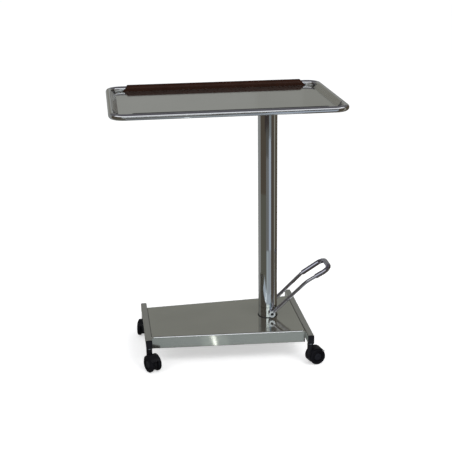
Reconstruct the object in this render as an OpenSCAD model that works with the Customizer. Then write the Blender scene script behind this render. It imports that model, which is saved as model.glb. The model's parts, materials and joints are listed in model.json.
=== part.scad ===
// Foot-pumped instrument table: a tube-rimmed tray on an off-centre lift column,
// over a tapered sheet-steel base with four twin-wheel casters.
// Origin: on the floor, under the middle of the tray. +X towards the pump lever.

/* [Tray] */
// Length of the tray over its tube rim
tray_len = 745; // [620:1:900]
// Width of the tray over its tube rim
tray_w = 496; // [400:1:620]
// Outer diameter of the rim tube
rim_d = 20; // [16:0.5:24]
// Wall of the rim tube
rim_wall = 1.5; // [1:0.1:2]
// Bend radius of the rim's corners, at the tube's centreline
rim_bend_r = 40; // [32:1:60]
// Thickness of the pan's sheet
pan_t = 1.2; // [0.8:0.1:1.8]
// Depth of the pan's floor below the centre of the rim tube
pan_depth = 5.5; // [4:0.5:7]
// Distance from the rim's outer edge to the corner notch that ends a flange
flange_stop = 57; // [52:1:100]
// Length of the open notch between a flange and the flat corner
notch_len = 12; // [8:1:20]

/* [Rear grip] */
// Length of the moulded grip on the rear rim tube, at its foot
grip_len = 640; // [400:1:640]
// Offset of the grip from the middle of the tray
grip_shift = 4; // [0:1:15]
// Wall of the round grip over the rim tube
grip_wall = 4.2; // [3:0.1:6]
// How far each end of the grip leans in from foot to top
grip_bevel = 20; // [5:1:25]

/* [Tray support] */
// Height of the two support rails under the pan
rail_h = 15; // [10:1:25]
// Width of a support rail
rail_w = 25; // [20:1:40]
// Wall of a support rail
rail_wall = 1.5; // [1:0.1:2.5]
// Distance between the support rails' centrelines
rail_pitch = 140; // [110:1:200]
// Thickness of the head plate on the column
head_t = 6; // [4:0.5:10]
// Length of the head plate along the rails
head_len = 140; // [110:1:200]
// Distance between the head bolts along a rail
head_bolt_pitch = 100; // [85:1:130]

/* [Column] */
// Distance from the tray's middle to the column's axis
col_x = 150; // [80:1:170]
// Height of the rim tube's centre above the base plate, column lowered
col_rise = 768; // [700:1:900]
// Outer diameter of the lift tube and of the pump foot under it
col_d = 65; // [60:0.5:76]
// Wall of the lift tube
lift_wall = 2.5; // [2:0.1:3]
// Outer diameter of the fixed guide tube
guide_d = 58; // [54:0.5:58]
// Wall of the guide tube
guide_wall = 2; // [1.5:0.1:2.5]
// Length of the guide tube
guide_len = 560; // [500:1:620]
// Height of the plastic slide bushes
bush_h = 28; // [18:1:40]
// Outer diameter of the oil cylinder
barrel_d = 40; // [36:0.5:42]
// Bore of the oil cylinder
barrel_bore = 32; // [26:0.5:33]
// Diameter of the piston rod
rod_d = 20; // [16:0.5:22]
// Length of the piston at the foot of the rod
piston_len = 22; // [15:1:40]

/* [Pump] */
// Height of the pump foot above the base plate
stub_h = 37; // [34:0.5:50]
// Gap between the pump foot and the lowered lift tube
stub_gap = 1; // [0.5:0.1:3]
// Distance of the lever axle from the column's axis
axle_x = 8; // [5:0.5:10]
// Height of the lever axle above the base plate
axle_rise = 17; // [15:0.5:18]
// Diameter of the lever axle
axle_d = 10; // [9:0.5:11]
// Throw of the crank on the lever axle
crank_throw = 14; // [12:0.5:14]
// Angle of the crank above level, lever up
crank_angle = 15; // [10:1:18]
// Thickness of the crank
crank_t = 12; // [8:0.5:12]
// Radius of the crank's nose
nose_r = 4; // [3:0.25:4]
// Diameter of the pump plunger
plunger_d = 8; // [6:0.5:9]
// Diameter of the plunger's head
plunger_head_d = 11; // [10:0.5:11.5]
// Width of the pump body under the base, along the base
pump_len = 84; // [80:1:110]
// Width of the pump body under the base, across it
pump_w = 70; // [50:1:90]
// Thickness of the pump's mounting flange
pump_flange_t = 8; // [6:0.5:12]
// Distance between the pump bolts, along the base and across it
pump_bolt_pitch = 96; // [94:1:130]

/* [Lever] */
// Diameter of the bent lever rod
lever_d = 12; // [10:0.5:13]
// Outer diameter of the sleeve on the lever's loop
sleeve_d = 17; // [15:0.5:22]
// Gap between the pump foot and each of the lever's arms
arm_gap = 1; // [0.8:0.1:4]
// How far each arm leans out from the axle to the bend
bend_spread = 2.5; // [0:0.5:6]
// How far each arm leans out from the bend to the loop's end
loop_spread = 7; // [0:0.5:12]
// Distance from the axle to the lever's bend, along the base
bend_run = 119; // [110:1:130]
// Rise from the axle to the lever's bend
bend_rise = 112.5; // [100:0.5:125]
// Distance from the axle to the middle of the loop's end, along the base
loop_run = 200; // [180:1:205]
// Rise from the axle to the middle of the loop's end
loop_rise = 160; // [145:0.5:170]
// Bend radius of the loop's corners
loop_bend_r = 26; // [18:1:30]
// Diameter of the lever's eyes
eye_d = 23; // [19:0.5:26]
// Thickness of the lever's eyes
eye_t = 10; // [8:0.5:12]

/* [Base] */
// Length of the base plate between the side bars
plate_len = 515; // [430:1:600]
// Distance from the column's axis to the near side bar
col_to_bar = 100.5; // [90:0.5:110]
// Depth of the base plate at the column end
plate_depth = 319; // [300:1:380]
// How much less deep the base plate is at its other end
plate_narrowing = 57; // [20:1:90]
// Thickness of the base plate
plate_t = 1.5; // [1:0.1:2.5]
// Height of the folded front and rear edges
skirt_h = 41; // [36:1:50]
// Outer radius of the fold
fold_r = 4; // [3:0.5:6]
// Width of the lip folded in under each edge
lip_w = 12; // [8:1:20]
// Width of a side bar
bar_w = 20.5; // [20:0.5:30]
// Height of a side bar
bar_h = 30; // [28:1:40]
// Wall of a side bar
bar_wall = 1.5; // [1:0.1:2]
// How far a side bar stands above the base plate
bar_step = 3; // [0:0.5:5]
// How far the far side bar runs past the plate's edge, with its end cap
bar_over_far = 34; // [32:1:50]
// How far the near side bar runs past the plate's edge, with its end cap
bar_over_near = 51; // [40:1:60]
// Outer radius of a side bar's corners
bar_corner_r = 3; // [2:0.5:4]
// Thickness of the end caps
cap_t = 3; // [2:0.5:3.5]
// Distance from the end of a side bar to its caster's stem
stem_inset = 14; // [13.5:0.5:30]
// Thickness of the stiffening plate under the column
stiff_t = 4; // [3:0.5:6]
// Side of the stiffening plate
stiff_side = 170; // [150:1:190]

/* [Casters] */
// Height from the floor to the underside of the side bars
caster_h = 77; // [75:1:90]
// Diameter of the caster wheels
wheel_d = 55; // [50:0.5:56]
// Width of one wheel
wheel_w = 14; // [12:0.5:16]
// Distance from the swivel axis to the wheel axle
trail = 20; // [18:0.5:22]
// Thickness of the hood's web between the wheels
web_t = 10; // [8:0.5:12]
// Thickness of the hood's fender
hood_t = 1.8; // [1.5:0.1:2.5]
// Diameter of the wheel axle
wheel_axle_d = 8; // [6:0.5:9]
// Diameter of the swivel stem
stem_d = 10.9; // [10:0.1:12]
// Outer diameter of the bush that holds the stem
stem_bush_d = 15; // [14:0.5:17]
// Diameter of the hood's stem boss
boss_d = 20; // [18:0.5:24]
// Resting angle of the front far caster
front_far_angle = -64; // [-180:1:180]
// Resting angle of the front near caster
front_near_angle = 14; // [-180:1:180]
// Resting angle of the rear far caster
rear_far_angle = -102; // [-180:1:180]
// Resting angle of the rear near caster
rear_near_angle = 150; // [-180:1:180]

/* [Fits] */
// Radial running clearance of shafts and slides
run_gap = 0.05; // [0.02:0.01:0.1]
// Clearance between neighbours that must not touch
part_gap = 0.3; // [0.2:0.05:0.5]

/* [Hidden] */
$fn = 64;
eps = 0.01;
steel = [0.72, 0.73, 0.72];
chrome = [0.80, 0.81, 0.83];
black = [0.09, 0.09, 0.10];
brown = [0.19, 0.11, 0.08];
nylon = [0.90, 0.90, 0.86];
brass = [0.78, 0.66, 0.36];

// Heights
bar_z = caster_h;
plate_z = bar_z + bar_h - bar_step;
rim_z = plate_z + col_rise;
rim_r = rim_d / 2;
deck_z = rim_z - pan_depth - pan_t;
rail_z = deck_z - rail_h;
head_z = rail_z - head_t;
stub_z = plate_z + stub_h;
lift_z = stub_z + stub_gap;
axle_z = plate_z + axle_rise;
stiff_z = plate_z - plate_t - stiff_t;
flange_z = stiff_z - pump_flange_t;
pump_body_h = 22;
pump_z = flange_z - pump_body_h;

// Tray
rim_half_x = tray_len / 2 - rim_r;
rim_half_y = tray_w / 2 - rim_r;
pan_gap = 0.6;
pan_half_x = rim_half_x - rim_r - pan_gap;
pan_half_y = rim_half_y - rim_r - pan_gap;
pan_corner_r = rim_bend_r - rim_r - pan_gap;
flange_foot = pan_t * sqrt(2);
// The flanges slope at 45 degrees, pass the tube with pan_gap and end level with its top
flange_rise = rim_r + pan_depth + pan_t;
flange_run = sqrt(2) * (rim_r + pan_gap) + flange_foot + pan_depth + pan_t - rim_r;
crease_x = rim_half_x - rim_r - flange_run;
crease_y = rim_half_y - rim_r - flange_run;
grip_gap = 0.1;
grip_r = rim_r + grip_wall;
grip_y = rim_half_y - grip_r;
grip_skirt = rim_r - 1;
grip_back = 0.6 * rim_r;

// Column
lift_r = col_d / 2;
lift_bore_r = lift_r - lift_wall;
guide_r = guide_d / 2;
guide_bore_r = guide_r - guide_wall;
barrel_r = barrel_d / 2;
spigot_h = 16;
barrel_sink = 10;
barrel_z = stub_z + spigot_h - barrel_sink;
guide_top = stub_z + guide_len;
bush_sink = 14;
gland_h = 20;
barrel_len = guide_top - barrel_z - gland_h - 8;
piston_z = barrel_z + 4;
seal_h = 5;
rod_screw_r = 5;
rod_screw_len = 30;
rod_screw_head_r = 9.5;
rod_screw_seat = 3;
thrust_gap = 0.1;

// Pump
stub_r = col_d / 2;
crank_x = crank_throw * cos(crank_angle);
nose_z = axle_z + crank_throw * sin(crank_angle);
plunger_top = nose_z - nose_r - part_gap;
plunger_x = axle_x + crank_throw * (1 + cos(crank_angle)) / 2;
plunger_head_h = 3;
plunger_len = 36;
chamber_y = crank_t / 2 + 0.5;
crank_hub_r = axle_d / 2 + 2;
chamber_floor = axle_z - crank_hub_r - 3;
chamber_top = axle_z + crank_hub_r + 3;
chamber_end = axle_x + crank_throw + nose_r + 1.5;
spring_pocket = 9;
spring_z = chamber_floor - spring_pocket;
spring_wire = 1.2;
spring_coils = 5;
pocket_r = plunger_head_d / 2 + 0.5;
axle_bush_r = axle_d / 2 + 2;
axle_flange_r = axle_d / 2 + 3.5;
axle_flange_t = arm_gap - part_gap;
bleed_x = axle_x - 9.5;
bleed_rise = axle_rise + 5.5;
bleed_r = 2.2;
seal_ring_w = 2;
seal_ring_h = 1.6;
bolt_r = 4;
bolt_head_r = 7.5;
bolt_head_h = 5.3;
bolt_gap = 0.2;
plug_r = 6;

// Base
plate_x1 = col_x + col_to_bar;
plate_x0 = plate_x1 - plate_len;
near_y = plate_depth / 2;
far_y = near_y - plate_narrowing / 2;
plate_taper = atan((near_y - far_y) / plate_len);
bar_far_y = far_y + bar_over_far;
bar_near_y = near_y + bar_over_near;
plug_end_gap = 0.5;
cap_plug = stem_inset - stem_bush_d / 2 - cap_t - plug_end_gap;

// Casters: swivel axis and resting angle of each
wheel_r = wheel_d / 2;
wheel_side_gap = 0.5;
hub_step = 1.5;
wheel_in = web_t / 2 + wheel_side_gap + hub_step;
wheel_crown = 5;
web_r = wheel_r - wheel_crown;
hood_gap = 1.2;
hood_in_r = wheel_r + hood_gap;
hood_r = hood_in_r + hood_t;
hood_half_w = wheel_in + wheel_w - wheel_crown + 1;
stem_bush_flange = 3;
stem_bush_h = 22;
boss_gap = 0.5;
boss_top = caster_h - stem_bush_flange - boss_gap;
stem_hold = 13.5;
stem_foot = boss_top - stem_hold;
stem_top = caster_h + stem_bush_h + 1;
hub_r = wheel_axle_d / 2 + 6;
bore_len = wheel_w - 3.5;
far_x = plate_x0 - bar_w / 2;
near_x = plate_x1 + bar_w / 2;
casters = [
    [far_x, stem_inset - bar_far_y, front_far_angle],
    [near_x, stem_inset - bar_near_y, front_near_angle],
    [far_x, bar_far_y - stem_inset, rear_far_angle],
    [near_x, bar_near_y - stem_inset, rear_near_angle]
];

// Unit vector along v
function unit(v) = v / norm(v);

// Points of the round bend at p, between the straights from a and to b
function bend(a, p, b, r, steps) =
    let (u = unit(a - p), w = unit(b - p), half = acos(u * w) / 2,
         c = p + unit(u + w) * r / sin(half),
         s = p + u * r / tan(half) - c, e = p + w * r / tan(half) - c,
         turn = 180 - 2 * half)
    [for (i = [0:steps]) c + (s * sin((1 - i / steps) * turn) + e * sin(i / steps * turn)) / sin(turn)];

// Direction of a path at its point i
function heading(path, i) =
    let (n = len(path) - 1)
    i == 0 ? unit(path[1] - path[0]) :
    i == n ? unit(path[n] - path[n - 1]) :
    unit(unit(path[i + 1] - path[i]) + unit(path[i] - path[i - 1]));

// Points of all rings of radius r along a path; ref is a direction that no ring is edge-on to
function rings(path, r, sides, ref) =
    [for (i = [0:len(path) - 1])
        let (t = heading(path, i), u = unit(ref - (ref * t) * t), v = cross(t, u))
        for (j = [0:sides - 1])
            path[i] + r * (cos(j * 360 / sides) * u + sin(j * 360 / sides) * v)];

// Triangles between neighbouring rings, starting at point number first
function skin(count, sides, first, flip) =
    [for (i = [0:count - 2], j = [0:sides - 1])
        let (k = (j + 1) % sides, a = first + i * sides + j, b = first + i * sides + k,
             c = a + sides, d = b + sides)
        each flip ? [[a, b, c], [b, d, c]] : [[a, c, b], [b, c, d]]];

// Solid round bar along a path
module swept_bar(path, r, sides, ref) {
    n = len(path);
    polyhedron(
        points = rings(path, r, sides, ref),
        faces = concat(
            skin(n, sides, 0, false),
            [[for (j = [0:sides - 1]) j]],
            [[for (j = [sides - 1:-1:0]) (n - 1) * sides + j]]
        )
    );
}

// Hollow round tube along a path
module swept_tube(path, r, bore_r, sides, ref) {
    n = len(path);
    inner = n * sides;
    last = (n - 1) * sides;
    polyhedron(
        points = concat(rings(path, r, sides, ref), rings(path, bore_r, sides, ref)),
        faces = concat(
            skin(n, sides, 0, false),
            skin(n, sides, inner, true),
            [for (j = [0:sides - 1]) let (k = (j + 1) % sides)
                each [[j, k, inner + j], [k, inner + k, inner + j]]],
            [for (j = [0:sides - 1]) let (k = (j + 1) % sides)
                each [[last + j, inner + last + j, last + k],
                      [last + k, inner + last + j, inner + last + k]]]
        )
    );
}

// Flat rectangle with round corners, centred
module round_rect(w, h, r) {
    square([w - 2 * r, h], center = true);
    square([w, h - 2 * r], center = true);
    for (sx = [-1, 1], sy = [-1, 1])
        translate([sx * (w / 2 - r), sy * (h / 2 - r)]) circle(r);
}

module ring(r, bore_r, h) {
    difference() {
        cylinder(r = r, h = h);
        translate([0, 0, -1]) cylinder(r = bore_r, h = h + 2);
    }
}

// Round bar along Y, centred
module bar_y(r, len, sides = 64) {
    rotate([90, 0, 0]) cylinder(r = r, h = len, center = true, $fn = sides);
}

module on_column() {
    translate([col_x, 0, 0]) children();
}

// Solid of the rim's closed loop, for a tube of radius r
module rim_loop(r) {
    straight_x = 2 * (rim_half_x - rim_bend_r);
    straight_y = 2 * (rim_half_y - rim_bend_r);
    for (s = [-1, 1]) {
        translate([0, s * rim_half_y, rim_z]) rotate([0, 90, 0])
            cylinder(r = r, h = straight_x, center = true);
        translate([s * rim_half_x, 0, rim_z]) rotate([90, 0, 0])
            cylinder(r = r, h = straight_y, center = true);
    }
    for (q = [0:3]) {
        sx = (q == 0 || q == 3) ? 1 : -1;
        sy = q < 2 ? 1 : -1;
        translate([sx * straight_x / 2, sy * straight_y / 2, rim_z]) rotate([0, 0, q * 90])
            rotate_extrude(angle = 90) translate([rim_bend_r, 0]) circle(r);
    }
}

module rim_tube() {
    color(chrome) difference() {
        rim_loop(rim_r);
        rim_loop(rim_r - rim_wall);
    }
}

// One sloping flange of the pan along Y, mitred at both ends; its crease is at x = 0
module pan_flange(len) {
    difference() {
        rotate([90, 0, 0]) linear_extrude(len, center = true)
            polygon([[-eps, 0], [flange_foot, 0], [flange_foot + flange_rise, flange_rise],
                     [flange_rise, flange_rise], [pan_t - eps, pan_t], [-eps, pan_t]]);
        for (s = [-1, 1]) translate([0, s * len / 2, 0]) rotate([s * 45, 0, 0])
            translate([-flange_run, s > 0 ? 0 : -2 * flange_run, -2 * flange_run])
                cube([3 * flange_run, 2 * flange_run, 5 * flange_run]);
    }
}

module tray_pan() {
    side_len = tray_w - 2 * flange_stop;
    front_len = tray_len - 2 * flange_stop;
    color(steel) translate([0, 0, deck_z]) {
        linear_extrude(pan_t) difference() {
            round_rect(2 * pan_half_x, 2 * pan_half_y, pan_corner_r);
            for (s = [-1, 1])
                translate([s * (crease_x + 20), 0]) square([40, side_len], center = true);
            translate([0, -crease_y - 20]) square([front_len, 40], center = true);
            translate([grip_shift, grip_y - part_gap + 20])
                square([grip_len + 4, 40], center = true);
        }
        translate([crease_x, 0, 0]) pan_flange(side_len - 2 * notch_len);
        mirror([1, 0, 0]) translate([crease_x, 0, 0]) pan_flange(side_len - 2 * notch_len);
        translate([0, -crease_y, 0]) rotate([0, 0, -90]) pan_flange(front_len - 2 * notch_len);
    }
}

// Moulded grip that snaps over the front and top of the rear rim tube, flush with it at the back
module rear_grip() {
    grip_h = grip_r + grip_skirt;
    color(brown) translate([grip_shift, rim_half_y, rim_z]) difference() {
        rotate([90, 0, 90]) linear_extrude(grip_len, center = true) difference() {
            union() {
                circle(grip_r);
                translate([-grip_r, -grip_skirt]) square([grip_r, grip_skirt]);
            }
            circle(rim_r + grip_gap);
            translate([0, -grip_r]) square([grip_r, grip_r + grip_back]);
            translate([rim_r, 0]) square([grip_r, grip_r]);
            translate([-grip_r - 1, -2 * grip_skirt]) square([2 * grip_r, grip_skirt]);
        }
        for (s = [-1, 1]) translate([s * grip_len / 2, 0, -grip_skirt])
            rotate([0, -s * atan(grip_bevel / grip_h), 0])
                translate([s > 0 ? 0 : -2 * grip_h, -grip_h, -grip_h])
                    cube([2 * grip_h, 2 * grip_h, 3 * grip_h]);
    }
}

// Support rails, cut to the rim tube's round where they are welded to it
module support_rails() {
    color(steel) for (s = [-1, 1]) translate([0, s * rail_pitch / 2, rail_z + rail_h / 2])
        difference() {
            rotate([90, 0, 90]) linear_extrude(2 * rim_half_x, center = true) difference() {
                round_rect(rail_w, rail_h, 2);
                square([rail_w - 2 * rail_wall, rail_h - 2 * rail_wall], center = true);
            }
            for (t = [-1, 1]) translate([t * rim_half_x, 0, rim_z - rail_z - rail_h / 2])
                bar_y(rim_r, 2 * rail_w);
            for (t = [-1, 1]) translate([col_x + t * head_bolt_pitch / 2, 0, -rail_h])
                cylinder(r = bolt_r, h = rail_h);
        }
}

module column_head() {
    color(steel) on_column() translate([0, 0, head_z]) difference() {
        linear_extrude(head_t) round_rect(head_len, rail_pitch + rail_w, 10);
        for (s = [-1, 1], t = [-1, 1])
            translate([s * head_bolt_pitch / 2, t * rail_pitch / 2, -1])
                cylinder(r = bolt_r + bolt_gap, h = head_t + 2);
        translate([0, 0, -1]) cylinder(r = rod_screw_r + run_gap, h = head_t + 2);
        translate([0, 0, head_t - rod_screw_seat]) cylinder(r = rod_screw_head_r, h = 4);
    }
}

// Hexagon-headed screw, head down, with the head's bearing face at z = 0
module hex_screw(shank_len) {
    translate([0, 0, -bolt_head_h]) cylinder(r = bolt_head_r, h = bolt_head_h, $fn = 6);
    cylinder(r = bolt_r, h = shank_len);
}

module head_bolts() {
    color(chrome) on_column() for (s = [-1, 1], t = [-1, 1])
        translate([s * head_bolt_pitch / 2, t * rail_pitch / 2, head_z])
            hex_screw(head_t + rail_wall + 4);
}

// Shoulder screw on which the tray's head plate turns
module rod_screw() {
    color(black) on_column() translate([0, 0, head_z + head_t - rod_screw_seat + thrust_gap]) {
        difference() {
            cylinder(r = rod_screw_head_r - 0.2, h = rod_screw_seat - 3 * thrust_gap);
            translate([0, 0, 1]) cylinder(r = 3.5, h = 3, $fn = 6);
        }
        translate([0, 0, -rod_screw_len]) cylinder(r = rod_screw_r, h = rod_screw_len + eps);
    }
}

module lift_tube() {
    color(chrome) on_column() translate([0, 0, lift_z])
        ring(lift_r, lift_bore_r, head_z - lift_z);
}

module lift_bush() {
    color(nylon) on_column() translate([0, 0, lift_z + 2])
        ring(lift_bore_r, guide_r + run_gap, bush_h);
}

module guide_tube() {
    color(chrome) on_column() translate([0, 0, stub_z])
        ring(guide_r, guide_bore_r, guide_len);
}

module guide_top_bush() {
    color(nylon) on_column() translate([0, 0, guide_top]) difference() {
        union() {
            cylinder(r = lift_bore_r - run_gap, h = bush_h - bush_sink);
            translate([0, 0, -bush_sink]) cylinder(r = guide_bore_r, h = bush_sink + eps);
        }
        translate([0, 0, -bush_sink - 1]) cylinder(r = barrel_r + 2, h = bush_h + 2);
    }
}

module cylinder_barrel() {
    color(steel) on_column() translate([0, 0, barrel_z])
        ring(barrel_r, barrel_bore / 2, barrel_len);
}

module rod_gland() {
    color(brass) on_column() translate([0, 0, barrel_z + barrel_len])
        ring(barrel_r, rod_d / 2 + run_gap, gland_h);
}

module piston_rod() {
    groove_z = piston_z + piston_len / 2 - seal_h / 2;
    color(chrome) on_column() difference() {
        union() {
            translate([0, 0, piston_z]) cylinder(r = barrel_bore / 2 - run_gap, h = piston_len);
            translate([0, 0, piston_z + 1])
                cylinder(r = rod_d / 2, h = head_z - thrust_gap - piston_z - 1);
        }
        translate([0, 0, groove_z]) ring(barrel_bore / 2 + 1, barrel_bore / 2 - 3, seal_h);
        translate([0, 0, head_z + head_t - rod_screw_seat + thrust_gap - rod_screw_len])
            cylinder(r = rod_screw_r, h = rod_screw_len);
    }
}

module piston_seal() {
    color(black) on_column() translate([0, 0, piston_z + piston_len / 2 - seal_h / 2])
        ring(barrel_bore / 2 - run_gap, barrel_bore / 2 - 3, seal_h);
}

module pump_block() {
    color(steel) on_column() difference() {
        union() {
            translate([0, 0, pump_z]) linear_extrude(pump_body_h + 1) round_rect(pump_len, pump_w, 8);
            translate([0, 0, flange_z]) linear_extrude(pump_flange_t)
                round_rect(pump_bolt_pitch + 24, pump_bolt_pitch + 24, 12);
            translate([0, 0, flange_z]) cylinder(r = stub_r, h = stub_z - flange_z);
            translate([0, 0, flange_z])
                cylinder(r = guide_bore_r, h = stub_z + spigot_h - flange_z);
        }
        // Seat of the oil cylinder
        translate([0, 0, barrel_z]) cylinder(r = barrel_r, h = spigot_h);
        // Bore of the lever axle's bushes
        translate([axle_x, 0, axle_z]) bar_y(axle_bush_r, col_d + 4);
        // Crank chamber
        translate([axle_x - crank_hub_r - 1, -chamber_y, chamber_floor])
            cube([chamber_end - axle_x + crank_hub_r + 1, 2 * chamber_y, chamber_top - chamber_floor]);
        // Plunger bore and spring pocket
        translate([plunger_x, 0, plunger_top - plunger_len - 10])
            cylinder(r = plunger_d / 2 + run_gap, h = plunger_len);
        translate([plunger_x, 0, spring_z]) cylinder(r = pocket_r, h = spring_pocket + 1);
        // Mounting holes
        for (s = [-1, 1], t = [-1, 1])
            translate([s * pump_bolt_pitch / 2, t * pump_bolt_pitch / 2, flange_z - 1])
                cylinder(r = bolt_r + bolt_gap, h = pump_flange_t + 2);
        // Bleed screw and drain plug
        translate([bleed_x, -stub_r, plate_z + bleed_rise]) bar_y(bleed_r, 16);
        translate([-pump_len / 4, 0, pump_z - 1]) cylinder(r = plug_r, h = 11);
    }
}

module foot_seal() {
    color(black) on_column() translate([0, 0, plate_z])
        ring(stub_r + seal_ring_w, stub_r, seal_ring_h);
}

module bleed_screw() {
    color(black) on_column() translate([bleed_x, -stub_r + 4, plate_z + bleed_rise])
        difference() {
            bar_y(bleed_r, 7);
            translate([0, -3.5, 0]) bar_y(bleed_r / 2, 4, 6);
        }
}

module drain_plug() {
    color(brass) on_column() translate([-pump_len / 4, 0, pump_z]) {
        translate([0, 0, -5]) cylinder(r = plug_r + 3, h = 5, $fn = 6);
        cylinder(r = plug_r, h = 9);
    }
}

module pump_bolts() {
    color(chrome) on_column() for (s = [-1, 1], t = [-1, 1])
        translate([s * pump_bolt_pitch / 2, t * pump_bolt_pitch / 2, flange_z])
            hex_screw(pump_flange_t + stiff_t);
}

// Flanged bushes of the lever axle, one in each side of the pump foot
module axle_bushes() {
    bush_len = stub_r - chamber_y;
    color(brass) on_column() translate([axle_x, 0, axle_z]) for (s = [-1, 1])
        translate([0, s * chamber_y, 0]) rotate([-s * 90, 0, 0]) {
            ring(axle_bush_r, axle_d / 2 + run_gap, bush_len);
            translate([0, 0, bush_len]) ring(axle_flange_r, axle_d / 2 + run_gap, axle_flange_t);
        }
}

module pump_plunger() {
    color(chrome) on_column() translate([plunger_x, 0, plunger_top]) {
        translate([0, 0, -plunger_len]) cylinder(r = plunger_d / 2, h = plunger_len);
        translate([0, 0, -plunger_head_h]) cylinder(r = plunger_head_d / 2, h = plunger_head_h);
    }
}

module plunger_spring() {
    coil_r = (plunger_d + plunger_head_d) / 4 + 0.2;
    low = spring_z + spring_wire / 2 + 0.1;
    high = plunger_top - plunger_head_h - spring_wire / 2 - 0.1;
    steps = 16 * spring_coils;
    path = [for (i = [0:steps]) [coil_r * cos(i * 22.5), coil_r * sin(i * 22.5),
                                 low + (high - low) * i / steps]];
    color(chrome) on_column() translate([plunger_x, 0, 0])
        swept_bar(path, spring_wire / 2, 6, [0, 0, 1]);
}

// Lever centreline, from the rear eye round the loop to the front eye
function lever_point(run, rise, y) = [axle_x + run, y, axle_z + rise];
arm_y = stub_r + arm_gap + lever_d / 2;
bend_y = arm_y + bend_spread;
loop_y = bend_y + loop_spread;
lever_nodes = [
    lever_point(0, 0, arm_y), lever_point(bend_run, bend_rise, bend_y),
    lever_point(loop_run, loop_rise, loop_y), lever_point(loop_run, loop_rise, -loop_y),
    lever_point(bend_run, bend_rise, -bend_y), lever_point(0, 0, -arm_y)
];
lever_bend_r = [0, 25, loop_bend_r, loop_bend_r, 150, 0];
lever_bend_steps = [0, 4, 8, 8, 6, 0];
function lever_bend(i) = bend(lever_nodes[i - 1], lever_nodes[i], lever_nodes[i + 1],
                              lever_bend_r[i], lever_bend_steps[i]);
lever_sides = 16;
lever_ref = unit([-(loop_rise - bend_rise), 0, loop_run - bend_run]);

module lever_rod() {
    path = concat([lever_nodes[0]], [for (i = [1:4]) each lever_bend(i)], [lever_nodes[5]]);
    color(chrome) on_column() difference() {
        union() {
            swept_bar(path, lever_d / 2, lever_sides, lever_ref);
            for (s = [-1, 1]) translate([axle_x, s * arm_y, axle_z]) bar_y(eye_d / 2, eye_t);
        }
        translate([axle_x, 0, axle_z]) bar_y(axle_d / 2, 2 * arm_y + 2 * eye_t);
    }
}

// Sleeve on the lever's loop, a little longer on the rear arm
module lever_sleeve() {
    from_rear = 0.045;
    from_front = 0.4;
    rear = lever_nodes[1] + from_rear * (lever_nodes[2] - lever_nodes[1]);
    front = lever_nodes[4] + from_front * (lever_nodes[3] - lever_nodes[4]);
    path = concat([rear], lever_bend(2), lever_bend(3), [front]);
    color([0.45, 0.45, 0.48]) on_column()
        swept_tube(path, sleeve_d / 2, lever_d / 2 + 0.1, lever_sides, lever_ref);
}

module lever_axle() {
    axle_len = 2 * (arm_y + eye_t / 2) - 6;
    color(steel) on_column() translate([axle_x, 0, axle_z]) difference() {
        bar_y(axle_d / 2, axle_len);
        for (s = [-1, 1]) translate([0, s * (axle_len / 2 - 7), 0]) bar_y(2.5, 14 + eps);
    }
}

module lever_crank() {
    color(steel) on_column() translate([axle_x, 0, axle_z]) rotate([0, -crank_angle, 0])
        rotate([90, 0, 0]) linear_extrude(crank_t, center = true) difference() {
            union() {
                circle(crank_hub_r);
                translate([crank_throw, 0]) circle(nose_r);
                translate([0, -1]) square([crank_throw, nose_r + 1]);
            }
            circle(axle_d / 2);
        }
}

// Socket screws sunk into the lever's eyes, at both ends of the axle
module lever_screws() {
    axle_end = arm_y + eye_t / 2 - 3;
    color(black) on_column() translate([axle_x, 0, axle_z]) for (s = [-1, 1])
        translate([0, s * axle_end, 0]) rotate([-s * 90, 0, 0]) {
            difference() {
                cylinder(r = axle_d / 2 - 0.8, h = 2);
                translate([0, 0, 0.8]) cylinder(r = 2.6, h = 3, $fn = 6);
            }
            translate([0, 0, -12]) cylinder(r = 2.5, h = 12 + eps);
        }
}

// Section through the folded edge: y is the distance in from the edge, z up from the plate's top
module fold_profile() {
    translate([0, -skirt_h]) square([plate_t, skirt_h - fold_r]);
    translate([0, -skirt_h]) square([lip_w, plate_t]);
    translate([fold_r, -plate_t]) square([6, plate_t]);
    intersection() {
        translate([fold_r, -fold_r]) difference() {
            circle(fold_r);
            circle(fold_r - plate_t);
        }
        translate([0, -fold_r]) square([fold_r, fold_r]);
    }
}

module base_plate() {
    inset = (fold_r + 3) / cos(plate_taper);
    color(steel) difference() {
        intersection() {
            union() {
                for (m = [0, 1]) mirror([0, m, 0]) translate([plate_x0, -far_y, plate_z])
                    rotate([0, 0, -plate_taper]) translate([-20, 0, 0]) rotate([90, 0, 90])
                        linear_extrude(plate_len + 60) fold_profile();
                translate([0, 0, plate_z - plate_t]) linear_extrude(plate_t) polygon([
                    [plate_x0, inset - far_y], [plate_x1, inset - near_y],
                    [plate_x1, near_y - inset], [plate_x0, far_y - inset]]);
            }
            translate([plate_x0, -plate_depth, plate_z - skirt_h - 1])
                cube([plate_len, 2 * plate_depth, skirt_h + 2]);
        }
        on_column() translate([0, 0, plate_z - plate_t - 1])
            cylinder(r = stub_r + part_gap, h = plate_t + 2);
    }
}

module base_stiffener() {
    color(steel) on_column() translate([0, 0, stiff_z]) difference() {
        linear_extrude(stiff_t) round_rect(stiff_side, stiff_side, 8);
        translate([0, 0, -1]) cylinder(r = stub_r + part_gap, h = stiff_t + 2);
        for (s = [-1, 1], t = [-1, 1])
            translate([s * pump_bolt_pitch / 2, t * pump_bolt_pitch / 2, -1])
                cylinder(r = bolt_r, h = stiff_t + 2);
    }
}

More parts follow.
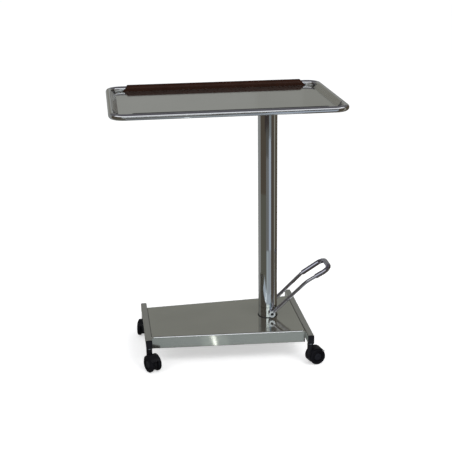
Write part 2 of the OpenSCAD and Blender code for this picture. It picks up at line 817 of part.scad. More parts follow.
module side_bar(x, half_y) {
    tube_len = 2 * (half_y - cap_t);
    color(steel) translate([x, 0, bar_z + bar_h / 2]) difference() {
        rotate([90, 0, 0]) linear_extrude(tube_len, center = true) difference() {
            round_rect(bar_w, bar_h, bar_corner_r);
            square([bar_w - 2 * bar_wall, bar_h - 2 * bar_wall], center = true);
        }
        for (s = [-1, 1]) translate([0, s * (half_y - stem_inset), -bar_h / 2 - 1])
            cylinder(r = stem_bush_d / 2, h = bar_wall + 2);
    }
}

// Plug-in cap at one end of a side bar
module end_cap(x, half_y, side) {
    plug_gap = 0.1;
    color(black) translate([x, side * half_y, bar_z + bar_h / 2]) rotate([side * 90, 0, 0]) {
        linear_extrude(cap_t) round_rect(bar_w, bar_h, bar_corner_r);
        translate([0, 0, cap_t - eps]) linear_extrude(cap_plug) difference() {
            square([bar_w - 2 * bar_wall - 2 * plug_gap, bar_h - 2 * bar_wall - 2 * plug_gap],
                   center = true);
            square([bar_w - 2 * bar_wall - 5, bar_h - 2 * bar_wall - 5], center = true);
        }
    }
}

module caster_bushes() {
    color(steel) for (c = casters) translate([c[0], c[1], caster_h]) {
        translate([0, 0, -stem_bush_flange])
            ring(bar_w / 2 - 0.5, stem_d / 2 + run_gap, stem_bush_flange);
        ring(stem_bush_d / 2, stem_d / 2 + run_gap, stem_bush_h);
    }
}

module at_caster(i) {
    translate([casters[i][0], casters[i][1], 0]) rotate([0, 0, casters[i][2]]) children();
}

// Slice of the hood, r_out to r_in about the wheel axle, from its front lip to its skirt
module hood_arc(r_out, r_in) {
    lip = 32;
    skirt = 205;
    reach = 2 * hood_r;
    intersection() {
        difference() {
            circle(r_out);
            circle(r_in);
        }
        polygon(concat([[0, 0]], [for (i = [0:8]) let (a = lip + (skirt - lip) * i / 8)
            [reach * cos(a), reach * sin(a)]]));
    }
}

module hood(i) {
    color(black) at_caster(i) difference() {
        union() {
            translate([trail, 0, wheel_r]) rotate([90, 0, 0]) {
                linear_extrude(2 * hood_half_w, center = true) hood_arc(hood_r, hood_in_r);
                linear_extrude(web_t, center = true) hood_arc(hood_in_r + 1, hub_r - 1);
                linear_extrude(web_t, center = true) circle(web_r);
            }
            difference() {
                translate([0, 0, wheel_r]) cylinder(r = boss_d / 2, h = boss_top - wheel_r);
                translate([trail, 0, wheel_r]) bar_y(hood_in_r + 1, 2 * boss_d);
            }
        }
        translate([0, 0, stem_foot]) cylinder(r = stem_d / 2, h = boss_top);
        translate([trail, 0, wheel_r]) bar_y(wheel_axle_d / 2, 2 * web_t);
    }
}

module stem(i) {
    color(chrome) at_caster(i) {
        translate([0, 0, stem_foot]) cylinder(r = stem_d / 2, h = stem_top - stem_foot - 2);
        translate([0, 0, stem_top - 2 - eps])
            cylinder(r1 = stem_d / 2, r2 = stem_d / 2 - 1.5, h = 2);
    }
}

module wheel_axle(i) {
    color(chrome) at_caster(i) translate([trail, 0, wheel_r])
        bar_y(wheel_axle_d / 2, 2 * (wheel_in + bore_len) - 1);
}

// Half section of a wheel: x is the radius, y runs from its inner face to its outer face
module wheel_profile() {
    rim_depth = 11;
    dome_r = 60;
    dome_top = wheel_w - 1.5;
    translate([wheel_r - rim_depth / 2, wheel_w / 2]) round_rect(rim_depth, wheel_w, wheel_crown);
    intersection() {
        translate([0, dome_top - dome_r]) circle(dome_r, $fn = 128);
        translate([0, wheel_w / 2 - 2]) square([wheel_r - rim_depth + 1, wheel_w]);
    }
    translate([0, -hub_step]) square([hub_r, wheel_w / 2 + hub_step]);
}

module wheel(i, side) {
    color(black) at_caster(i) translate([trail, side * wheel_in, wheel_r])
        rotate([-side * 90, 0, 0]) difference() {
            rotate_extrude() wheel_profile();
            translate([0, 0, -hub_step - 1])
                cylinder(r = wheel_axle_d / 2 + run_gap, h = bore_len + hub_step + 1);
        }
}

tray_pan();
rim_tube();
rear_grip();
support_rails();
column_head();
head_bolts();
rod_screw();
lift_tube();
lift_bush();
guide_tube();
guide_top_bush();
cylinder_barrel();
rod_gland();
piston_rod();
piston_seal();
pump_block();
foot_seal();
bleed_screw();
drain_plug();
pump_bolts();
axle_bushes();
pump_plunger();
plunger_spring();
lever_rod();
lever_sleeve();
lever_axle();
lever_crank();
lever_screws();
base_plate();
base_stiffener();
side_bar(far_x, bar_far_y);  // side_bar_far
side_bar(near_x, bar_near_y);  // side_bar_near
caster_bushes();
end_cap(far_x, bar_far_y, -1);  // end_cap_front_far
end_cap(near_x, bar_near_y, -1);  // end_cap_front_near
end_cap(far_x, bar_far_y, 1);  // end_cap_rear_far
end_cap(near_x, bar_near_y, 1);  // end_cap_rear_near
hood(0);  // hood_front_far
hood(1);  // hood_front_near
hood(2);  // hood_rear_far
hood(3);  // hood_rear_near
stem(0);  // stem_front_far
stem(1);  // stem_front_near
stem(2);  // stem_rear_far
stem(3);  // stem_rear_near
wheel_axle(0);  // axle_front_far
wheel_axle(1);  // axle_front_near
wheel_axle(2);  // axle_rear_far
wheel_axle(3);  // axle_rear_near
wheel(0, -1);  // wheel_front_far_a
wheel(0, 1);  // wheel_front_far_b
wheel(1, -1);  // wheel_front_near_a
wheel(1, 1);  // wheel_front_near_b
wheel(2, -1);  // wheel_rear_far_a
wheel(2, 1);  // wheel_rear_far_b
wheel(3, -1);  // wheel_rear_near_a
wheel(3, 1);  // wheel_rear_near_b
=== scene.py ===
import json
import math

import bpy
from mathutils import Matrix, Vector


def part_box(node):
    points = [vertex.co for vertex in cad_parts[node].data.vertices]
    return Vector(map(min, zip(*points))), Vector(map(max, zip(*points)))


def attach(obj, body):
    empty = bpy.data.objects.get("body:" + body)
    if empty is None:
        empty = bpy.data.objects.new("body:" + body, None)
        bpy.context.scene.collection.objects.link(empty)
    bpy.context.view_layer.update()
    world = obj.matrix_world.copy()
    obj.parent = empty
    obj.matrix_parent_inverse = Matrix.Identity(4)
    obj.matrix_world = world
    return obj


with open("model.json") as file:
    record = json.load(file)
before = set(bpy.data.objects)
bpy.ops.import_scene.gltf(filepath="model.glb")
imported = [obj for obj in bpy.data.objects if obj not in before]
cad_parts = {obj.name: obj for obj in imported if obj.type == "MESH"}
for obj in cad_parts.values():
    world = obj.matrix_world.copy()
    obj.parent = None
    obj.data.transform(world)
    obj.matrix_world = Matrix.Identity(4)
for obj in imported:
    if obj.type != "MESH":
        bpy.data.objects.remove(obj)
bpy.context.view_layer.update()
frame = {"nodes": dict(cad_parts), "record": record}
nodes = frame["nodes"]
scene = bpy.context.scene

# ---------------------------------------------------------------- camera

# Solved from the tray rim, the column and the base plate in the photograph
EYE = Vector((-0.4033, -3.2148, 1.4900))
YAW = 0.1333
PITCH = 0.3151
ROLL = -0.0117
FOCAL_PX = 1007.08
IMAGE_PX = 452
CENTRE_PX = (232.08, 226.83)
SENSOR_MM = 36
CLIP_END = 200


def add_camera():
    forward = Vector((math.sin(YAW) * math.cos(PITCH),
                      math.cos(YAW) * math.cos(PITCH),
                      -math.sin(PITCH)))
    level = Vector((math.cos(YAW), -math.sin(YAW), 0))
    upright = level.cross(forward)
    right = math.cos(ROLL) * level + math.sin(ROLL) * upright
    up = -math.sin(ROLL) * level + math.cos(ROLL) * upright
    data = bpy.data.cameras.new("camera")
    data.sensor_width = SENSOR_MM
    data.lens = SENSOR_MM * FOCAL_PX / IMAGE_PX
    data.shift_x = (IMAGE_PX / 2 - CENTRE_PX[0]) / IMAGE_PX
    data.shift_y = (CENTRE_PX[1] - IMAGE_PX / 2) / IMAGE_PX
    data.clip_end = CLIP_END
    obj = bpy.data.objects.new("camera", data)
    scene.collection.objects.link(obj)
    turn = Matrix((right, up, -forward)).transposed().to_4x4()
    obj.matrix_world = Matrix.Translation(EYE) @ turn
    scene.camera = obj


# ---------------------------------------------------------------- materials

# Most of a noise texture's values lie between these
NOISE_LOW = 0.3
NOISE_HIGH = 0.7


def node_tree(name):
    mat = bpy.data.materials.new(name)
    mat.use_nodes = True
    tree = mat.node_tree
    return mat, tree, tree.nodes["Principled BSDF"]


def object_noise(tree, scale, detail, stretch=(1, 1, 1)):
    """Noise in the piece's own metres, stretched along its axes."""
    coord = tree.nodes.new("ShaderNodeTexCoord")
    mapping = tree.nodes.new("ShaderNodeMapping")
    mapping.inputs["Scale"].default_value = stretch
    noise = tree.nodes.new("ShaderNodeTexNoise")
    noise.inputs["Scale"].default_value = scale
    noise.inputs["Detail"].default_value = detail
    tree.links.new(coord.outputs["Object"], mapping.inputs["Vector"])
    tree.links.new(mapping.outputs["Vector"], noise.inputs["Vector"])
    return noise.outputs["Fac"]


def spread(tree, value, low, high, start=NOISE_LOW, end=NOISE_HIGH):
    """Maps start..end of a value to low..high."""
    node = tree.nodes.new("ShaderNodeMapRange")
    node.inputs["From Min"].default_value = start
    node.inputs["From Max"].default_value = end
    node.inputs["To Min"].default_value = low
    node.inputs["To Max"].default_value = high
    tree.links.new(value, node.inputs["Value"])
    return node.outputs["Result"]


def tint(tree, value, dark, light):
    """Mixes two colours by a value from 0 to 1."""
    node = tree.nodes.new("ShaderNodeMix")
    node.data_type = "RGBA"
    node.inputs["A"].default_value = (*dark, 1)
    node.inputs["B"].default_value = (*light, 1)
    tree.links.new(value, node.inputs["Factor"])
    return node.outputs["Result"]


def bump(tree, value, distance, strength):
    """Relief of a depth in metres from a value."""
    node = tree.nodes.new("ShaderNodeBump")
    node.inputs["Distance"].default_value = distance
    node.inputs["Strength"].default_value = strength
    tree.links.new(value, node.inputs["Height"])
    return node.outputs["Normal"]


def connect(tree, shader, colour, roughness, normal):
    tree.links.new(colour, shader.inputs["Base Color"])
    tree.links.new(roughness, shader.inputs["Roughness"])
    tree.links.new(normal, shader.inputs["Normal"])


def polished(name, dark, light, rough):
    """Chromed or mirror-polished steel: faint wipe marks in gloss and colour."""
    smear = 0.05
    mat, tree, shader = node_tree(name)
    shader.inputs["Metallic"].default_value = 1
    wipe = object_noise(tree, scale=9, detail=4, stretch=(1, 1, 0.35))
    waves = object_noise(tree, scale=26, detail=2)
    connect(tree, shader,
            tint(tree, wipe, dark, light),
            spread(tree, wipe, low=rough, high=rough + smear),
            bump(tree, waves, distance=0.0001, strength=0.08))
    return mat


def brushed(name, dark, light, rough, grain, along=(0.05, 1, 1), upright=0.0, edge=0.0,
            metallic=1.0):
    """Satin sheet: long fine grain in bump and gloss, slow cloudiness in colour.

    upright is how much rougher the upright faces are than the level ones, edge is the
    radius to which sharp edges are broken, and a metallic value below 1 scatters some light.
    """
    mat, tree, shader = node_tree(name)
    shader.inputs["Metallic"].default_value = metallic
    cloud = object_noise(tree, scale=5, detail=3)
    line = object_noise(tree, scale=1400, detail=2, stretch=along)
    satin = spread(tree, line, low=rough - grain, high=rough + grain)
    if upright:
        satin = rougher_upright(tree, satin, upright)
    grained = bump(tree, line, distance=0.00004, strength=0.5)
    if edge:
        broken = tree.nodes.new("ShaderNodeBevel")
        broken.inputs["Radius"].default_value = edge
        tree.links.new(broken.outputs["Normal"], grained.node.inputs["Normal"])
    connect(tree, shader, tint(tree, spread(tree, cloud, low=0, high=1), dark, light),
            satin, grained)
    return mat


def rougher_upright(tree, roughness, most):
    """Adds up to most to the roughness, the more the steeper a face stands."""
    level_from = 0.9
    coord = tree.nodes.new("ShaderNodeTexCoord")
    parts = tree.nodes.new("ShaderNodeSeparateXYZ")
    tree.links.new(coord.outputs["Normal"], parts.inputs[0])
    extra = spread(tree, parts.outputs["Z"], low=most, high=0, start=0.0, end=level_from)
    total = tree.nodes.new("ShaderNodeMath")
    tree.links.new(roughness, total.inputs[0])
    tree.links.new(extra, total.inputs[1])
    return total.outputs[0]


def moulded(name, dark, light, rough, grain_scale, depth, gloss=0.5):
    """Moulded plastic or rubber: fine spark grain and slightly uneven colour."""
    mat, tree, shader = node_tree(name)
    shader.inputs["Specular IOR Level"].default_value = gloss
    cloud = object_noise(tree, scale=30, detail=3)
    grain = object_noise(tree, scale=grain_scale, detail=2)
    connect(tree, shader,
            tint(tree, spread(tree, cloud, low=0, high=1), dark, light),
            spread(tree, grain, low=rough - 0.06, high=rough + 0.08),
            bump(tree, grain, distance=depth, strength=0.6))
    return mat


def cast(name, dark, light, rough):
    """Machined or blackened steel, or brass, with fine mottling."""
    mat, tree, shader = node_tree(name)
    shader.inputs["Metallic"].default_value = 1
    mottle = object_noise(tree, scale=180, detail=5)
    connect(tree, shader,
            tint(tree, spread(tree, mottle, low=0, high=1), dark, light),
            spread(tree, mottle, low=rough - 0.08, high=rough + 0.1),
            bump(tree, mottle, distance=0.0001, strength=0.4))
    return mat


def dress():
    """Makes the materials, gives each CAD part its own, and adds the fine pieces."""
    chrome = polished("chrome", (0.56, 0.57, 0.59), (0.66, 0.67, 0.69), rough=0.03)
    pan = brushed("pan_sheet", (0.55, 0.555, 0.529), (0.59, 0.595, 0.569),
                  rough=0.07, grain=0.02, upright=1.0, metallic=0.97)
    plate = brushed("base_sheet", (0.39, 0.39, 0.35), (0.44, 0.44, 0.395),
                    rough=0.08, grain=0.02, upright=0.06, edge=0.003, metallic=0.88)
    bar = brushed("bar_steel", (0.42, 0.42, 0.40), (0.48, 0.48, 0.455),
                  rough=0.14, grain=0.03, along=(1, 0.05, 1), edge=0.0016)
    # Much lighter copy of the plate's steel: painted highlight on the plate's folds
    bright = polished("painted_fold_highlight", (0.88, 0.91, 0.92), (0.93, 0.96, 0.97), rough=0.10)
    # Darker, bluish copy of the chrome: painted shade, standing in for the lever's dark reflections
    darker_lever_chrome = polished("lever_chrome_shaded", (0.44, 0.44, 0.48), (0.54, 0.54, 0.59), rough=0.04)
    rail = brushed("rail_steel", (0.44, 0.44, 0.43), (0.50, 0.50, 0.49), rough=0.26, grain=0.05)
    # Darker, bluish polished metal whose tint paints the sleeve's dark purplish reflections
    sleeve = polished("sleeve_metal", (0.40, 0.40, 0.47), (0.48, 0.48, 0.56), rough=0.04)
    black = moulded("black_plastic", (0.006, 0.006, 0.008), (0.010, 0.010, 0.013),
                    rough=0.42, grain_scale=900, depth=0.00008, gloss=0.16)
    wheel = moulded("wheel_plastic", (0.005, 0.005, 0.007), (0.009, 0.009, 0.012),
                    rough=0.50, grain_scale=700, depth=0.00008, gloss=0.08)
    grip = moulded("grip_plastic", (0.024, 0.009, 0.005), (0.032, 0.012, 0.007),
                   rough=0.34, grain_scale=420, depth=0.00012, gloss=0.10)
    hub = moulded("hub_plastic", (0.010, 0.011, 0.016), (0.015, 0.016, 0.023),
                  rough=0.36, grain_scale=800, depth=0.00006, gloss=0.22)
    rubber = moulded("seal_rubber", (0.012, 0.012, 0.012), (0.02, 0.02, 0.02),
                     rough=0.60, grain_scale=600, depth=0.0001)
    nylon = moulded("nylon", (0.70, 0.69, 0.62), (0.78, 0.77, 0.71),
                    rough=0.45, grain_scale=500, depth=0.00005)
    machined = cast("machined_steel", (0.16, 0.165, 0.17), (0.24, 0.245, 0.25), rough=0.38)
    blackened = cast("blackened_steel", (0.02, 0.02, 0.022), (0.035, 0.035, 0.04), rough=0.35)
    brass = cast("brass", (0.45, 0.33, 0.13), (0.55, 0.41, 0.17), rough=0.30)
    by_slot = {
        "polished_steel": chrome, "satin_steel": rail, "cast_steel": machined, "brass": brass,
        "grip_plastic": grip, "black_plastic": black, "sleeve_metal": sleeve,
        "slide_nylon": nylon, "black_steel": blackened, "wheel_tread": wheel,
        "seal_rubber": rubber,
    }
    own = {
        "tray_pan": pan, "base_plate": plate, "side_bar_far": bar, "side_bar_near": bar,
        "support_rails": rail, "column_head": rail, "pump_block": chrome, "lever_rod": darker_lever_chrome,
    }
    for part in frame["record"]["subparts"]:
        mat = own.get(part["node"], by_slot[part["material_slot"]])
        obj = nodes[part["node"]]
        if not obj.material_slots:
            obj.data.materials.append(mat)
        for slot in obj.material_slots:
            slot.material = mat
    add_hub_caps(hub)
    add_joint_shade_lines(rubber)
    add_welds(machined)
    add_notch_shade_plugs(rubber)
    add_painted_fold_highlights(bright)
    add_front_shade_line(rubber)


# ---------------------------------------------------------------- fine pieces

TURN_STEPS = 40  # faces round a turned piece
BEAD_SIDES = 10  # faces round a bead
BEAD_PITCH = 0.0016  # length of one ripple of a weld
ROWS_PER_RIPPLE = 4
ROWS_PER_PITCH = 0.25  # in a bead without ripples
LEAST_ROWS = 12
LEAST_END = 0.02  # square of the share of its radius that a bead keeps at its very end


def new_piece(name, points, faces, body, mat):
    """A smooth mesh that rides on a body."""
    mesh = bpy.data.meshes.new(name)
    mesh.from_pydata(points, [], faces)
    mesh.polygons.foreach_set("use_smooth", [True] * len(mesh.polygons))
    mesh.materials.append(mat)
    obj = bpy.data.objects.new(name, mesh)
    scene.collection.objects.link(obj)
    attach(obj, body)


def box_corners(node):
    low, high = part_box(node)
    return Vector(low), Vector(high)


def across(axis):
    """Two directions square to an axis."""
    side = axis.orthogonal().normalized()
    return side, axis.cross(side)


def lathed(name, profile, centre, axis, body, mat):
    """Turns (radius, height) points about an axis; the first and last points lie on it."""
    side, other = across(axis)
    inner = profile[1:-1]
    points = [centre + axis * profile[0][1], centre + axis * profile[-1][1]]
    for radius, height in inner:
        for k in range(TURN_STEPS):
            a = 2 * math.pi * k / TURN_STEPS
            outward = side * math.cos(a) + other * math.sin(a)
            points.append(centre + axis * height + outward * radius)
    faces = []
    last = 2 + (len(inner) - 1) * TURN_STEPS
    for k in range(TURN_STEPS):
        n = (k + 1) % TURN_STEPS
        faces.append((0, 2 + n, 2 + k))
        faces.append((1, last + k, last + n))
        for j in range(2, last, TURN_STEPS):
            faces.append((j + k, j + n, j + TURN_STEPS + n, j + TURN_STEPS + k))
    new_piece(name, points, faces, body, mat)


def bead(name, start, end, radius, body, mat, ripple=0.0, facing=None, squash=1.0):
    """A run of weld, or a thin strip that paints a line of shade or highlight, from start to end,
    rounded at both ends.

    With facing it is flattened by squash in that direction.
    """
    start, end = Vector(start), Vector(end)
    along = (end - start).normalized()
    side, other = across(along)
    if facing:
        other = (facing - along * facing.dot(along)).normalized()
        side = along.cross(other)
    length = (end - start).length
    rows_each = ROWS_PER_RIPPLE if ripple else ROWS_PER_PITCH
    rows = max(LEAST_ROWS, round(length / BEAD_PITCH * rows_each))
    points = []
    for i in range(rows + 1):
        t = i / rows
        edge = min(t, 1 - t) * length / radius
        size = radius * math.sqrt(max(LEAST_END, 1 - max(0, 1 - edge) ** 2))
        size *= 1 + ripple * math.sin(2 * math.pi * t * length / BEAD_PITCH)
        for k in range(BEAD_SIDES):
            a = 2 * math.pi * k / BEAD_SIDES
            outward = side * math.cos(a) + other * math.sin(a) * squash
            points.append(start + along * length * t + outward * size)
    faces = [tuple(range(BEAD_SIDES))[::-1],
             tuple(rows * BEAD_SIDES + k for k in range(BEAD_SIDES))]
    for i in range(rows):
        here, there = i * BEAD_SIDES, (i + 1) * BEAD_SIDES
        for k in range(BEAD_SIDES):
            n = (k + 1) % BEAD_SIDES
            faces.append((here + k, here + n, there + n, there + k))
    new_piece(name, points, faces, body, mat)


WHEEL_W = 0.014  # as in the CAD part
# (radius, height over the wheel's inner face)
HUB_CAP = ((0, 0.0128), (0.0040, 0.0127), (0.0046, 0.0122), (0.0052, 0.0127), (0.0102, 0.0124),
           (0.0114, 0.0119), (0.0120, 0.0109), (0.0121, 0.0090), (0, 0.0088))


def add_hub_caps(mat):
    """A domed cap in the outer face of every wheel."""
    for joint in frame["record"]["behaviour"]["joints"]:
        wheel = joint["child"]
        if not wheel.startswith("wheel_"):
            continue
        low, high = box_corners(wheel)
        axis = Vector(joint["axis"]).normalized()
        middle = (low + high) / 2
        centre = Vector(joint["pos_m"])
        if (middle - centre).dot(axis) < 0:
            axis = -axis
        inner_face = (middle - centre).dot(axis) - WHEEL_W / 2
        lathed("hub_cap_" + wheel.removeprefix("wheel_"), HUB_CAP, centre + axis * inner_face,
               axis, wheel, mat)


# The dark bead that paints the shade in the step between plate and side bar
JOINT_SHADE_R = 0.0011
JOINT_SHADE_END = 0.004
FAR_SEAM_IN = 0.0285  # the plate's far end is this much narrower on each side


def add_joint_shade_lines(mat):
    """A thin dark rubber bead along each joint between the folded plate and the two side bars:
    painted shade, where the step between plate and bar lies in shadow.
    """
    low, high = box_corners("base_plate")
    for name, x, half in (("far", low.x, high.y - FAR_SEAM_IN), ("near", high.x, high.y)):
        bead("joint_shade_" + name, (x, -half + JOINT_SHADE_END, high.z), (x, half - JOINT_SHADE_END, high.z),
             JOINT_SHADE_R, "base", mat)


# Painted shadow line: a thin dark bead on the top edge of the pan's front flange
SHADE_LINE_R = 0.0011
SHADE_LINE_Y = -0.2319
SHADE_LINE_Z = 0.8818
SHADE_LINE_HALF_LENGTH = 0.302


def add_front_shade_line(mat):
    """A thin dark rubber bead on the top edge of the pan's front flange: a painted shadow line
    along the whole rim, where the gap between pan and rim lies in shade.
    """
    bead("front_shade_line", (-SHADE_LINE_HALF_LENGTH, SHADE_LINE_Y, SHADE_LINE_Z), (SHADE_LINE_HALF_LENGTH, SHADE_LINE_Y, SHADE_LINE_Z),
         SHADE_LINE_R, "pan", mat)


FOLD_R = 0.004  # as in the CAD part
# The strip that paints the folds' highlight line
FOLD_HALF_W = 0.0017
FOLD_SQUASH = 0.22
FOLD_TILT = math.radians(32)


def add_painted_fold_highlights(mat):
    """A narrow strip of much lighter polished steel on the plate's long folds: a painted highlight,
    a line of light along each fold.
    """
    low, high = box_corners("base_plate")
    inward = FOLD_R - FOLD_R * math.cos(FOLD_TILT)
    z = high.z - FOLD_R + FOLD_R * math.sin(FOLD_TILT)
    far = high.y - FAR_SEAM_IN - inward
    near = high.y - inward
    for name, side in (("front", -1), ("rear", 1)):
        bead("painted_fold_highlight_" + name,
             (low.x + FOLD_R, side * far, z), (high.x - FOLD_R, side * near, z),
             FOLD_HALF_W, "base", mat,
             facing=Vector((0, side * math.cos(FOLD_TILT), math.sin(FOLD_TILT))),
             squash=FOLD_SQUASH)


RAIL_W = 0.025  # as in the CAD part
WELD_R = 0.0014
WELD_END = 0.001
WELD_DROP = 0.0006
WELD_RIPPLE = 0.16


def add_welds(mat):
    """Rippled beads where the support rails meet the rim tube."""
    low, high = box_corners("rim_tube")
    rail_low, rail_high = box_corners("support_rails")
    tube_r = (high.z - low.z) / 2
    z = low.z - WELD_DROP
    for side, x in (("far", low.x + tube_r), ("near", high.x - tube_r)):
        for name, y in (("front", rail_low.y), ("rear", rail_high.y - RAIL_W)):
            bead("weld_%s_%s" % (side, name),
                 (x, y + WELD_END, z), (x, y + RAIL_W - WELD_END, z),
                 WELD_R, "tray_carrier", mat, ripple=WELD_RIPPLE)


# Middle of the notch at each end of the pan's flanges, from the middle of the tray
SIDE_NOTCH = (0.3455, 0.1850)
FRONT_NOTCH = (0.3095, 0.2210)
# Profile of the dark plug that paints the shade in each notch: (radius, height over the pan's
# underside)
NOTCH_SHADE_PLUG = ((0, 0.0105), (0.0022, 0.0101), (0.0042, 0.0084), (0.0053, 0.0055),
              (0.0054, 0.0001), (0.0088, 0), (0.0088, -0.0011), (0.0080, -0.0016),
              (0, -0.0016))
PLUG_CLEARANCE = 0.0001


def add_notch_shade_plugs(mat):
    """A flanged dark rubber plug pushed up from below into each open notch of the pan: painted
    shade, filling the notch where the gap under each flange end lies in shadow.
    """
    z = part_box("tray_pan")[0][2] - PLUG_CLEARANCE
    x, y = SIDE_NOTCH
    spots = [("far_front", -x, -y), ("far_rear", -x, y), ("near_front", x, -y), ("near_rear", x, y)]
    x, y = FRONT_NOTCH
    spots += [("front_far", -x, -y), ("front_near", x, -y)]
    for name, x, y in spots:
        lathed("notch_shade_plug_" + name, NOTCH_SHADE_PLUG, Vector((x, y, z)), Vector((0, 0, 1)),
               "pan", mat)


# ---------------------------------------------------------------- stage and light

FLOOR_HALF = 40
FLOOR_COLOUR = (0.86, 0.86, 0.86)
FLOOR_ROUGHNESS = 0.9
FLOOR_LIFT = 0.5  # brings the seen floor to white, without lighting the table
WORLD_COLOUR = (0.97, 0.98, 1)
WORLD_STRENGTH = 0.62
WHITE = (1, 1, 1, 1)
# Soft lights: name, place, what they aim at, side, power.
AREA_LIGHTS = (
    ("key", (1.6, -2.6, 3.2), (0.05, 0, 0.6), 1.6, 55),
    ("fill", (-2.6, -1.6, 2.4), (0.0, 0, 0.5), 2.0, 20),
)


def stage_object(name, points, faces, mat):
    mesh = bpy.data.meshes.new(name)
    mesh.from_pydata(points, [], faces)
    mesh.materials.append(mat)
    obj = bpy.data.objects.new(name, mesh)
    scene.collection.objects.link(obj)
    return obj


def square(half):
    return ((-half, -half), (half, -half), (half, half), (-half, half))


def seen_or_mirrored(tree):
    """1 for camera, glossy and transmission rays, so metal shows the same white background."""
    path = tree.nodes.new("ShaderNodeLightPath")
    total = path.outputs["Is Camera Ray"]
    for name in ("Is Glossy Ray", "Is Transmission Ray"):
        add = tree.nodes.new("ShaderNodeMath")
        add.operation = "MAXIMUM"
        tree.links.new(total, add.inputs[0])
        tree.links.new(path.outputs[name], add.inputs[1])
        total = add.outputs[0]
    return total


def add_floor():
    mat, tree, shader = node_tree("floor")
    shader.inputs["Base Color"].default_value = (*FLOOR_COLOUR, 1)
    shader.inputs["Roughness"].default_value = FLOOR_ROUGHNESS
    shader.inputs["Specular IOR Level"].default_value = 0
    shader.inputs["Emission Color"].default_value = WHITE
    lift = tree.nodes.new("ShaderNodeMath")
    lift.operation = "MULTIPLY"
    lift.inputs[1].default_value = FLOOR_LIFT
    tree.links.new(seen_or_mirrored(tree), lift.inputs[0])
    tree.links.new(lift.outputs[0], shader.inputs["Emission Strength"])
    corners = [(x, y, 0) for x, y in square(FLOOR_HALF)]
    stage_object("floor", corners, [tuple(range(len(corners)))], mat)


def add_world():
    """Soft light on the table; where the background is seen or mirrored it is plain white."""
    world = bpy.data.worlds.new("world")
    scene.world = world
    world.use_nodes = True
    tree = world.node_tree
    light = tree.nodes["Background"]
    light.inputs["Color"].default_value = (*WORLD_COLOUR, 1)
    light.inputs["Strength"].default_value = WORLD_STRENGTH
    white = tree.nodes.new("ShaderNodeBackground")
    white.inputs["Color"].default_value = WHITE
    white.inputs["Strength"].default_value = 1
    mix = tree.nodes.new("ShaderNodeMixShader")
    tree.links.new(seen_or_mirrored(tree), mix.inputs["Fac"])
    tree.links.new(light.outputs[0], mix.inputs[1])
    tree.links.new(white.outputs[0], mix.inputs[2])
    tree.links.new(mix.outputs[0], tree.nodes["World Output"].inputs["Surface"])


def add_area(name, place, aim, side, power):
    data = bpy.data.lights.new(name, "AREA")
    data.shape = "RECTANGLE"
    data.size = side
    data.size_y = side
    data.energy = power
    obj = bpy.data.objects.new(name, data)
    scene.collection.objects.link(obj)
    obj.location = place
    obj.rotation_euler = (Vector(aim) - Vector(place)).to_track_quat("-Z", "Y").to_euler()
    obj.visible_glossy = False


# Painted reflections: glowing cards, no lamps, that only the bright metal mirrors, placed in
# degrees about the column from the direction of the camera.
# Walls: name, first and last angle, distance, lowest and highest point, colour.
WALLS = (
    ("grey_wall", -180, 180, 6.6, 0, 9.0, (0.335, 0.34, 0.325)),
    ("upper_wall", -180, 180, 6.55, 3.5, 9.0, (0.17, 0.165, 0.175)),
    ("corner_edge", 150, 181, 6.5, 0, 2.6, (0.315, 0.318, 0.30)),
    ("corner_middle", 150, 177, 6.4, 0, 2.6, (0.295, 0.297, 0.278)),
    ("corner_deep", 150, 173, 6.3, 0, 2.6, (0.265, 0.267, 0.245)),
    ("far_wall", 194.5, 214, 6.4, 1.3, 4.0, (0.26, 0.255, 0.225)),
    ("dark_room", -92, 150, 6.0, 0, 3.5, (0.105, 0.088, 0.066)),
    ("camera_side", -18, 14, 5.8, 0, 2.1, (0.36, 0.365, 0.36)),
    ("side_wall", 82, 98, 5.8, 0, 2.0, (0.36, 0.36, 0.31)),
    # The band and windows below glow brighter than white: painted highlights in the metal
    ("light_band", -75, 95, 5.9, 3.5, 8.8, (1.15, 1.16, 1.18)),
    ("white_window", -16, 22, 5.7, 2.32, 2.62, (2.5, 2.75, 2.8)),
    ("blue_window", 22, 43, 5.7, 2.32, 2.62, (0.7, 1.0, 1.35)),
)
# Floors: name, first and last angle, nearest and farthest distance, colour; each lies on the last.
FLOORS = (
    ("grey_floor", -180, 180, 0.25, 6.6, (0.335, 0.34, 0.325)),
    ("corner_floor", 150, 173, 0.25, 6.3, (0.265, 0.267, 0.245)),
    ("dark_floor", -92, 150, 0.25, 6.0, (0.105, 0.088, 0.066)),
    ("brown_floor", -92, 20, 0.25, 1.9, (0.135, 0.132, 0.105)),
    ("side_floor", 82, 98, 0.25, 5.8, (0.36, 0.36, 0.31)),
    ("tray_shadow", -34, 14, 3.4, 5.8, (0.055, 0.045, 0.042)),
    ("camera_far", -18, 14, 2.7, 3.5, (0.12, 0.12, 0.11)),
    ("camera_floor", -18, 16, 0.25, 2.7, (0.205, 0.21, 0.205)),
    ("camera_near", -13, 12, 0.25, 1.0, (0.42, 0.47, 0.48)),
    ("window_edge", 12, 20, 0.25, 3.2, (0.30, 0.33, 0.36)),
    ("window_far", 18, 43, 3.2, 4.4, (0.26, 0.29, 0.30)),
    ("window_light", 18, 40, 0.25, 3.2, (0.50, 0.57, 0.66)),
    ("window_near", 18, 40, 0.25, 1.0, (0.40, 0.435, 0.465)),
)
LOWEST_FLOOR_Z = 0.002
FLOOR_STEP_Z = 0.0008
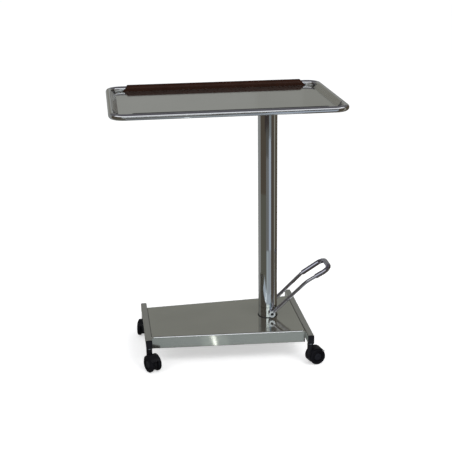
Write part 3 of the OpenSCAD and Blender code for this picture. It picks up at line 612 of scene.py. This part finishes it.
# Cards near the base, over the highest of the floors, which paint shade and light into what the
# base and its skirt mirror: name, outline, height, colour.
LOW_CARDS = (
    # Painted shadow under the base, as the metal near the floor mirrors it
    ("painted_base_shadow", ((-0.30, -0.20), (0.29, -0.20), (0.29, 0.20), (-0.30, 0.20)),
     0.0118, (0.09, 0.09, 0.085)),
    # Painted light: a bright bluish patch that the skirt mirrors
    ("near_floor", ((-0.34, -0.47), (0.40, -0.47), (0.40, -0.275), (-0.34, -0.225)),
     0.0125, (0.47, 0.53, 0.57)),
    # Painted light: a brighter glow on the skirt
    ("glow", ((-0.115, -0.44), (-0.02, -0.44), (0.0, -0.24), (-0.095, -0.24)),
     0.0133, (0.60, 0.68, 0.71)),
    # Painted highlight: a very bright streak that shows as a gleam on the skirt
    ("gleam", ((-0.074, -0.44), (-0.065, -0.44), (-0.046, -0.24), (-0.055, -0.24)),
     0.0141, (4.0, 4.2, 4.2)),
)
# A dark glowing card overhead: painted reflection of a dark ceiling in the metal's upper faces
CEILING_Z = 9.0
CEILING_HALF = 9
CEILING_COLOUR = (0.135, 0.13, 0.145)
COLUMN_AXIS = Vector((0.15, 0, 0))
SWEEP_STEP = 6  # degrees


def glow_material(name, colour):
    mat, tree, shader = node_tree(name)
    tree.nodes.remove(shader)
    glow = tree.nodes.new("ShaderNodeEmission")
    glow.inputs["Color"].default_value = (*colour, 1)
    tree.links.new(glow.outputs[0], tree.nodes["Material Output"].inputs["Surface"])
    return mat


def mirrored_card(name, points, faces, colour):
    """A glowing card that only reflections show: a painted reflection, which lights nothing."""
    obj = stage_object(name, points, faces, glow_material(name, colour))
    obj.visible_camera = False
    obj.visible_diffuse = False
    obj.visible_shadow = False
    obj.visible_transmission = False


def swept(name, start, end, profile, colour):
    """A card that follows two (distance, height) points round the column."""
    to_camera = math.atan2(EYE.y - COLUMN_AXIS.y, EYE.x - COLUMN_AXIS.x)
    steps = max(2, round((end - start) / SWEEP_STEP))
    points = []
    for i in range(steps + 1):
        a = to_camera + math.radians(start + (end - start) * i / steps)
        for distance, z in profile:
            points.append(COLUMN_AXIS + Vector((distance * math.cos(a), distance * math.sin(a), z)))
    faces = [(2 * i, 2 * i + 2, 2 * i + 3, 2 * i + 1) for i in range(steps)]
    mirrored_card(name, points, faces, colour)


def flat_card(name, outline, z, colour):
    mirrored_card(name, [(x, y, z) for x, y in outline], [tuple(range(len(outline)))], colour)


def add_surround():
    """Glowing cards round the table that only reflections show: painted reflections of walls, floor
    and ceiling in the metal, with painted highlights and painted shadows among them.
    """
    for name, start, end, distance, low, high, colour in WALLS:
        swept(name, start, end, [(distance, low), (distance, high)], colour)
    for level, (name, start, end, near, far, colour) in enumerate(FLOORS):
        z = LOWEST_FLOOR_Z + FLOOR_STEP_Z * level
        swept(name, start, end, [(near, z), (far, z)], colour)
    flat_card("ceiling", square(CEILING_HALF), CEILING_Z, CEILING_COLOUR)
    for card in LOW_CARDS:
        flat_card(*card)


add_camera()
dress()
add_floor()
add_world()
for light in AREA_LIGHTS:
    add_area(*light)
add_surround()
scene.view_settings.view_transform = "Standard"
